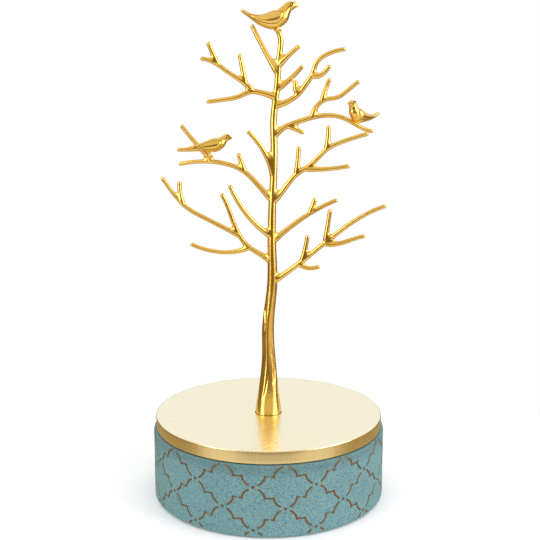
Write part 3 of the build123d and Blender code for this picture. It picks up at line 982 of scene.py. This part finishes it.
def flank(stations, along, up):
    """How far out the body's side lies at (along, up): the half width of the ellipse at that place along,
    times the square root of 1 - (height share) ** 2."""
    line = through(stations, flank_steps)
    line = line[line[:, 0].argsort()]
    middle = np.interp(along, line[:, 0], line[:, 1])
    tall = np.interp(along, line[:, 0], line[:, 2])
    wide = np.interp(along, line[:, 0], line[:, 3])
    return wide * np.sqrt(np.maximum(1 - ((up - middle) / tall) ** 2, least_flank))


def bird_wing(stations, wing, side):
    """Folded wing: a rounded plate whose middle line (along, up, half breadth, thickness) runs from the
    shoulder to its tip. Its section is a flattened ring that rests on the body's flank, and towards the tip
    bells of the place across it press the feathers' grooves in."""
    line = through(wing, wing_steps)
    ring = np.linspace(0, 2 * np.pi, wing_ring, endpoint=False)
    heading = headings(line[:, :2])
    breadth, thick = np.maximum(line[:, 2:3], thinnest), np.maximum(line[:, 3:4], thinnest_wing)
    across = np.cos(ring)
    rise = np.sign(np.sin(ring)) * np.abs(np.sin(ring)) ** wing_flatness
    from_groove = across - np.array(feather_grooves)[:, None]
    feathers = 1 - feather_depth * np.exp(-(from_groove / feather_width) ** 2).sum(axis=0)
    along = line[:, :1] - heading[:, 1:] * breadth * across
    up = line[:, 1:2] + heading[:, :1] * breadth * across
    to_the_tip = np.clip(np.linspace(-1.2, 1.0, wing_steps), 0, 1)[:, None]
    relief = wing_relief * thick * rise * (1 + to_the_tip * (feathers - 1))
    outward = flank(stations, along, up) + relief - wing_sunk
    return np.stack([along, side * outward, up], axis=-1)


def bead_ring(middle, reach, bead, axes, steps):
    """Ring of round wire: a circle of the bead's radius carried round a circle of the given reach, which lies
    along the first two axes and round the third."""
    turn = np.linspace(0, 2 * np.pi, steps, endpoint=False)[:, None]
    ring = np.linspace(0, 2 * np.pi, wire_ring, endpoint=False)
    out = reach + bead * np.cos(ring)
    parts = (out * np.cos(turn), out * np.sin(turn), bead * np.sin(ring) + 0 * turn)
    grid = np.empty((*parts[0].shape, 3))
    for axis, part in zip(axes, parts):
        grid[..., axis] = middle[axis] + part
    return grid


def rod(stations):
    """Round rod on a smooth line through (x, y, z, radius) stations: at each point a circle square to the
    line, turned so that one axis stays near Y."""
    line = through(stations, rod_steps)
    heading = headings(line[:, :3])
    aside = np.cross(heading, rod_side)
    aside /= np.linalg.norm(aside, axis=1, keepdims=True)
    third = np.cross(heading, aside)
    ring = np.linspace(0, 2 * np.pi, rod_ring, endpoint=False)[None, :, None]
    return line[:, None, :3] + line[:, None, 3:] * (
        np.cos(ring) * aside[:, None, :] + np.sin(ring) * third[:, None, :])


def set_down(grid, middle, yaw):
    """A bird's grid turned by yaw degrees about the upright line and moved to its middle."""
    turn = np.radians(yaw)
    x = middle[0] + grid[..., 0] * np.cos(turn) - grid[..., 1] * np.sin(turn)
    y = middle[1] + grid[..., 0] * np.sin(turn) + grid[..., 1] * np.cos(turn)
    return np.stack([x, y, middle[2] + grid[..., 2]], axis=-1)


def wing_edge(stations, wing, side):
    """Line cut round a folded wing: a thin round cord on the flank along both edges of the wing, closed."""
    line = through(wing, edge_steps)
    heading = headings(line[:, :2])
    square = np.stack([-heading[:, 1], heading[:, 0]], axis=1) * np.maximum(line[:, 2:3], thinnest)
    edge = np.concatenate([line[:, :2] + square, (line[:, :2] - square)[::-1]])
    run = np.roll(edge, -1, axis=0) - np.roll(edge, 1, axis=0)
    run /= np.linalg.norm(run, axis=1, keepdims=True)
    ring = np.linspace(0, 2 * np.pi, cut_ring, endpoint=False)
    along = edge[:, :1] - run[:, 1:] * cut_width * np.cos(ring)
    up = edge[:, 1:] + run[:, :1] * cut_width * np.cos(ring)
    out = flank(stations, edge[:, :1], edge[:, 1:]) + cut_width * np.sin(ring)
    return np.stack([along, side * out, up], axis=-1)


def bird(name, node, middle, yaw, seat, stations, wing, eye):
    """A whole bird: body, two wings, two ringed eyes, and two legs that stand on the seat with three toes.
    Returns the dark cuts round its wings and eyes."""
    grids = [(bird_body(stations), False)]
    cuts = []
    for side in (-1, 1):
        grids.append((bird_wing(stations, wing, side), False))
        socket = (eye[0], side * (eye[2] - eye_sunk), eye[1])
        cuts.append((bead_ring(socket, eye_ring, eye_bead, (0, 2, 1), eye_ring_steps), True))
        cuts.append((wing_edge(stations, wing, side), True))
        bead = [(eye[0], side * (eye[2] + out), eye[1], radius) for out, radius in pupil]
        grids.append((rod(bead), False))
    grids = [(set_down(grid, middle, yaw), ring) for grid, ring in grids]
    cuts = [(set_down(grid, middle, yaw), ring) for grid, ring in cuts]
    turn = np.radians(yaw)
    ahead = np.array([np.cos(turn), np.sin(turn), 0])
    aside = np.array([-np.sin(turn), np.cos(turn), 0])
    seat = np.array(seat, float)
    for side in (-1, 1):
        foot = seat + side * leg_spread * aside
        hip = foot + (0, 0, middle[2] - seat[2] - hip_drop)
        leg = zip((hip, 0.5 * (hip + foot), foot), leg_radii)
        grids.append((rod([(*spot, radius) for spot, radius in leg]), False))
        for reach, spread in toes:
            knuckle = foot + toe_bend * (reach * ahead + side * spread * aside) + (0, 0, toe_rise)
            claw = foot + reach * ahead + side * spread * aside - (0, 0, toe_drop)
            toe = zip((foot, knuckle, claw), toe_radii)
            grids.append((rod([(*spot, radius) for spot, radius in toe]), False))
    piece(name, grids, "lid", gold, [node])
    return cuts


cuts = bird(
    "gold_bird_top", "bird_top", middle=(2.8, 0.0, 301.1), yaw=0, seat=(5.7, 0.0, 295.6),
    stations=[
        (-19.1, 6.2, 0.25, 0.6), (-18.7, 6.0, 0.95, 1.55), (-13.7, 3.1, 1.5, 2.15), (-7.4, 0.6, 3.35, 3.5),
        (-0.8, 0.4, 5.4, 4.7), (4.4, 2.4, 5.1, 4.4), (7.0, 5.6, 3.7, 3.3), (9.1, 8.2, 2.95, 2.75),
        (11.1, 9.0, 2.75, 2.65), (13.1, 9.2, 2.05, 1.8), (14.4, 8.9, 1.15, 0.9), (15.2, 8.6, 0.25, 0.2),
    ],
    wing=[
        (7.0, 2.9, 0.2, 0.05), (6.0, 2.7, 2.2, 0.45), (3.0, 2.0, 3.3, 0.62), (-2.0, 1.2, 3.2, 0.62),
        (-7.0, 1.2, 2.0, 0.5), (-11.5, 2.2, 0.9, 0.35), (-14.5, 3.3, 0.1, 0.05),
    ],
    eye=(11.3, 9.6, 2.55),
)
cuts += bird(
    "gold_bird_left", "bird_left", middle=(-34.484, 5.545, 225.7), yaw=8, seat=(-37.384, 7.045, 218.9),
    stations=[
        (-22.7, -2.6, 0.3, 0.6), (-22.2, -2.6, 1.15, 1.5), (-16.5, -2.4, 1.45, 1.95), (-8.4, -1.1, 2.6, 2.85),
        (-0.5, 0.0, 4.3, 3.9), (3.6, 1.4, 3.8, 3.6), (6.1, 3.4, 2.65, 2.5), (7.4, 4.4, 2.4, 2.25),
        (8.7, 4.9, 2.3, 2.15), (9.9, 4.7, 1.65, 1.45), (10.8, 4.4, 0.9, 0.75), (11.4, 4.1, 0.2, 0.2),
    ],
    wing=[
        (5.2, 1.6, 0.2, 0.05), (4.2, 1.4, 1.7, 0.42), (1.6, 0.8, 2.6, 0.58), (-2.2, 0.0, 2.5, 0.58),
        (-6.2, -0.6, 1.6, 0.5), (-9.6, -0.9, 0.7, 0.35), (-12.4, -1.1, 0.1, 0.05),
    ],
    eye=(8.7, 5.4, 2.06),
)
cuts += bird(
    "gold_bird_right", "bird_right", middle=(56.014, 6.307, 244.2), yaw=220, seat=(54.814, 6.307, 239.9),
    stations=[
        (-18.7, 1.5, 0.25, 0.6), (-18.2, 1.3, 0.95, 1.35), (-12.9, -0.9, 1.4, 1.75), (-6.5, -1.0, 2.95, 2.85),
        (-0.5, 0.0, 4.6, 4.0), (2.5, 2.1, 4.0, 3.6), (3.7, 4.5, 3.0, 2.8), (4.4, 6.2, 2.6, 2.5),
        (5.3, 7.2, 2.4, 2.35), (6.7, 7.5, 1.75, 1.65), (8.1, 7.5, 0.9, 0.8), (9.4, 7.5, 0.2, 0.2),
    ],
    wing=[
        (3.6, 1.6, 0.2, 0.05), (2.8, 1.5, 1.6, 0.42), (0.6, 0.9, 2.5, 0.58), (-2.8, 0.0, 2.4, 0.58),
        (-6.2, -0.4, 1.5, 0.5), (-9.2, -0.4, 0.7, 0.35), (-11.6, -0.3, 0.1, 0.05),
    ],
    eye=(5.1, 8.0, 2.2),
)


def make_dark_lines_and_shade_gold(polish):
    """Dark brown gold with wandering tone, for the dark lines round the birds' wings and eyes and for the
    painted shade at the trunk's foot.
    """
    material, tree, shader = finish("Dark gold lines and painted shade", {"Metallic": 0.8})
    handled = place(tree, "ShaderNodeGroup", {}, node_tree=polish)
    handled.inputs["Unevenness"].default_value = 900.0
    tone = shades(tree, handled.outputs["Haze"], [(0.3, (0.16, 0.080, 0.012)), (0.7, (0.30, 0.165, 0.030))])
    gloss = shades(tree, handled.outputs["Haze"], [(0.3, (0.40, 0.40, 0.40)), (0.7, (0.55, 0.55, 0.55))])
    tree.links.new(tone, shader.inputs["Base Color"])
    tree.links.new(gloss, shader.inputs["Roughness"])
    dented(tree, shader, handled.outputs["Height"], 0.00004)
    return material


# Dark brown gold: the dark lines round the wings and eyes, and the painted shade at the trunk's foot.
dark_lines_and_shade_gold = make_dark_lines_and_shade_gold(polish)
piece("dark_cuts", cuts, "lid", dark_lines_and_shade_gold)


# Foot shade ring
# A thin dark ring of painted shade in the corner between the trunk's foot and the lid, where the two
# meet.

foot_shade_bead = 0.28
foot_shade_steps = 96
_, foot_aside, foot_reach = trunk_line[0]
foot_middle = (foot_aside, -foot_forward, lid_top)
# Painted shade: a dark ring laid where the trunk's foot meets the lid.
foot_shade_ring = bead_ring(foot_middle, foot_reach, foot_shade_bead, (0, 1, 2), foot_shade_steps)
piece("foot_shade_ring", [(foot_shade_ring, True)], "lid", dark_lines_and_shade_gold)


# Table, light and camera
# A white studio table and surround, two upright soft lamps to the left and right of the viewer and one
# overhead, and the camera at the photograph's place, above the lid, turned a little down and level across.

table_half = 0.4
fade_start = 0.10
fade_end = 0.34
table_tone = (0.86, 0.86, 0.86, 1)
table_glow = 0.16


def studio_table():
    """White table that fades into the white surround away from the stand: bare diffuse white, with a little
    light of its own to the camera so that it reads white while the stand's shadow stays on it. Metal sees
    past it to the surround, which has a floor of its own tone."""
    material = bpy.data.materials.new("White table")
    material.use_nodes = True
    tree = material.node_tree
    tree.nodes.clear()
    chalk = place(tree, "ShaderNodeBsdfDiffuse", {"Color": table_tone})
    rays = place(tree, "ShaderNodeLightPath", {})
    glow = place(tree, "ShaderNodeEmission", {"Color": (1, 1, 1, 1)})
    to_camera = place(tree, "ShaderNodeMath", {0: rays.outputs["Is Camera Ray"], 1: table_glow},
                      operation="MULTIPLY")
    tree.links.new(to_camera.outputs[0], glow.inputs["Strength"])
    lit = place(tree, "ShaderNodeAddShader", {0: chalk.outputs[0], 1: glow.outputs[0]})
    spot = place(tree, "ShaderNodeTexCoord", {}).outputs["Object"]
    reach = place(tree, "ShaderNodeVectorMath", {0: spot}, operation="LENGTH").outputs["Value"]
    gone = place(tree, "ShaderNodeMapRange", {"Value": reach, "From Min": fade_start, "From Max": fade_end},
                 interpolation_type="SMOOTHSTEP")
    gone = place(tree, "ShaderNodeMath", {0: gone.outputs[0], 1: rays.outputs["Is Glossy Ray"]},
                 operation="MAXIMUM")
    clear = place(tree, "ShaderNodeBsdfTransparent", {})
    both = place(tree, "ShaderNodeMixShader", {0: gone.outputs[0], 1: lit.outputs[0], 2: clear.outputs[0]})
    place(tree, "ShaderNodeOutputMaterial", {"Surface": both.outputs[0]})
    return material


table_mesh = bpy.data.meshes.new("table")
table_corners = [(x * table_half, y * table_half, 0) for x, y in ((-1, -1), (1, -1), (1, 1), (-1, 1))]
table_mesh.from_pydata(table_corners, [], [(0, 1, 2, 3)])
table_mesh.materials.append(studio_table())
table = bpy.data.objects.new("table", table_mesh)
bpy.context.scene.collection.objects.link(table)

surround = bpy.data.worlds.new("White studio")
bpy.context.scene.world = surround
surround.use_nodes = True
studio = surround.node_tree
studio.nodes.clear()

# The surround is white to the camera. Metal mirrors it pale behind and above, dark at the sides and darkest
# round the viewer. An edge runs along the rise of a direction, a turn along how far it points to the viewer.
side_floor, side_wall = 0.46, 0.16
front_wall, front_floor = 0.58, 0.95
back_sky, front_sky = 1.0, 0.80
viewer_dark = 0.14
side_floor_edge = (-0.34, -0.25)
front_floor_edge = (-0.16, -0.36)
sky_edge = (0.06, 0.18)
front_turn = (0.10, 0.58)
sky_turn = (-0.40, 0.20)
dark_turn = (0.78, 0.94)
dark_foot = (-0.365, -0.31)
dark_top = (0.26, 0.12)


def between(value, start, end):
    """Smooth step of a value: 0 at the start and 1 at the end, which may be the lower of the two."""
    step = place(studio, "ShaderNodeMapRange", {"Value": value, "From Min": start, "From Max": end},
                 interpolation_type="SMOOTHSTEP")
    return step.outputs[0]


def product(one, other):
    """Product of two values."""
    return place(studio, "ShaderNodeMath", {0: one, 1: other}, operation="MULTIPLY").outputs[0]


def toward(value, level, share):
    """A value moved to a level by a share: value + share * (level - value)."""
    return place(studio, "ShaderNodeMix", {0: share, 2: value, 3: level}, data_type="FLOAT").outputs[0]


rays = place(studio, "ShaderNodeLightPath", {})
way = place(studio, "ShaderNodeTexCoord", {}).outputs["Generated"]
level_way = place(studio, "ShaderNodeVectorMath", {0: way, 1: (1, 1, 0)}, operation="MULTIPLY")
level_way = place(studio, "ShaderNodeVectorMath", {0: level_way.outputs[0]}, operation="NORMALIZE")
to_viewer = place(studio, "ShaderNodeVectorMath", {0: level_way.outputs[0], 1: (0, -1, 0)},
                  operation="DOT_PRODUCT").outputs["Value"]
rise = place(studio, "ShaderNodeSeparateXYZ", {"Vector": way}).outputs["Z"]
sides = toward(side_floor, side_wall, between(rise, *side_floor_edge))
front = toward(front_wall, front_floor, between(rise, *front_floor_edge))
sky = toward(back_sky, front_sky, between(to_viewer, *sky_turn))
walls = toward(sides, front, between(to_viewer, *front_turn))
mirrored = toward(walls, sky, between(rise, *sky_edge))
dark_gap = product(between(to_viewer, *dark_turn), between(rise, *dark_foot))
dark_gap = product(dark_gap, between(rise, *dark_top))
mirrored = toward(mirrored, viewer_dark, dark_gap)
mirrored = toward(1.0, mirrored, rays.outputs["Is Glossy Ray"])
wall_colour = shades(studio, mirrored, [
    (0.10, (0.16, 0.100, 0.030)), (0.50, (0.54, 0.43, 0.25)), (0.80, (0.86, 0.79, 0.66)), (1.0, (1, 1, 1))])
shown = place(studio, "ShaderNodeMath", {0: rays.outputs["Is Camera Ray"], 1: rays.outputs["Is Glossy Ray"]},
              operation="MAXIMUM")
shown = place(studio, "ShaderNodeMath", {0: shown.outputs[0], 1: rays.outputs["Is Transmission Ray"]},
              operation="MAXIMUM")
white = place(studio, "ShaderNodeBackground", {"Color": wall_colour, "Strength": 1.0})
fill = place(studio, "ShaderNodeBackground", {"Color": (1, 1, 1, 1), "Strength": 0.5})
both = place(studio, "ShaderNodeMixShader", {0: shown.outputs[0], 1: fill.outputs[0], 2: white.outputs[0]})
place(studio, "ShaderNodeOutputWorld", {"Surface": both.outputs[0]})


def soft_lamp(name, spot, aim, wide, tall, power):
    """Soft lamp, so wide and so tall, at a spot and turned to face the aim."""
    data = bpy.data.lights.new(name, "AREA")
    data.shape = "RECTANGLE"
    data.size = wide
    data.size_y = tall
    data.energy = power
    lamp = bpy.data.objects.new(name, data)
    bpy.context.scene.collection.objects.link(lamp)
    lamp.location = spot
    back = np.array(spot) - np.array(aim)
    tilt = np.arctan2(np.hypot(back[0], back[1]), back[2])
    lamp.rotation_euler = (tilt, 0, np.arctan2(back[0], -back[1]))
    return lamp


soft_lamp("left_lamp", (-0.95, -0.74, 0.50), aim=(0, 0, 0.15), wide=0.55, tall=1.0, power=5.6)
soft_lamp("right_lamp", (1.09, -0.51, 0.52), aim=(0, 0, 0.15), wide=0.85, tall=1.0, power=9.2)
top_lamp = soft_lamp("top_lamp", (0.0, 0.1, 1.4), aim=(0, 0, 0.1), wide=1.0, tall=1.0, power=9.0)
top_lamp.visible_glossy = False

view = bpy.data.cameras.new("photo_view")
view.lens = 59.49
view.sensor_width = 36.0
camera = bpy.data.objects.new("photo_view", view)
bpy.context.scene.collection.objects.link(camera)
camera.location = (0.0009, -0.5622, 0.2468)
camera_down = 10.08
camera.rotation_euler = (np.radians(90 - camera_down), 0, 0)
bpy.context.scene.camera = camera
bpy.context.scene.view_settings.view_transform = "Standard"
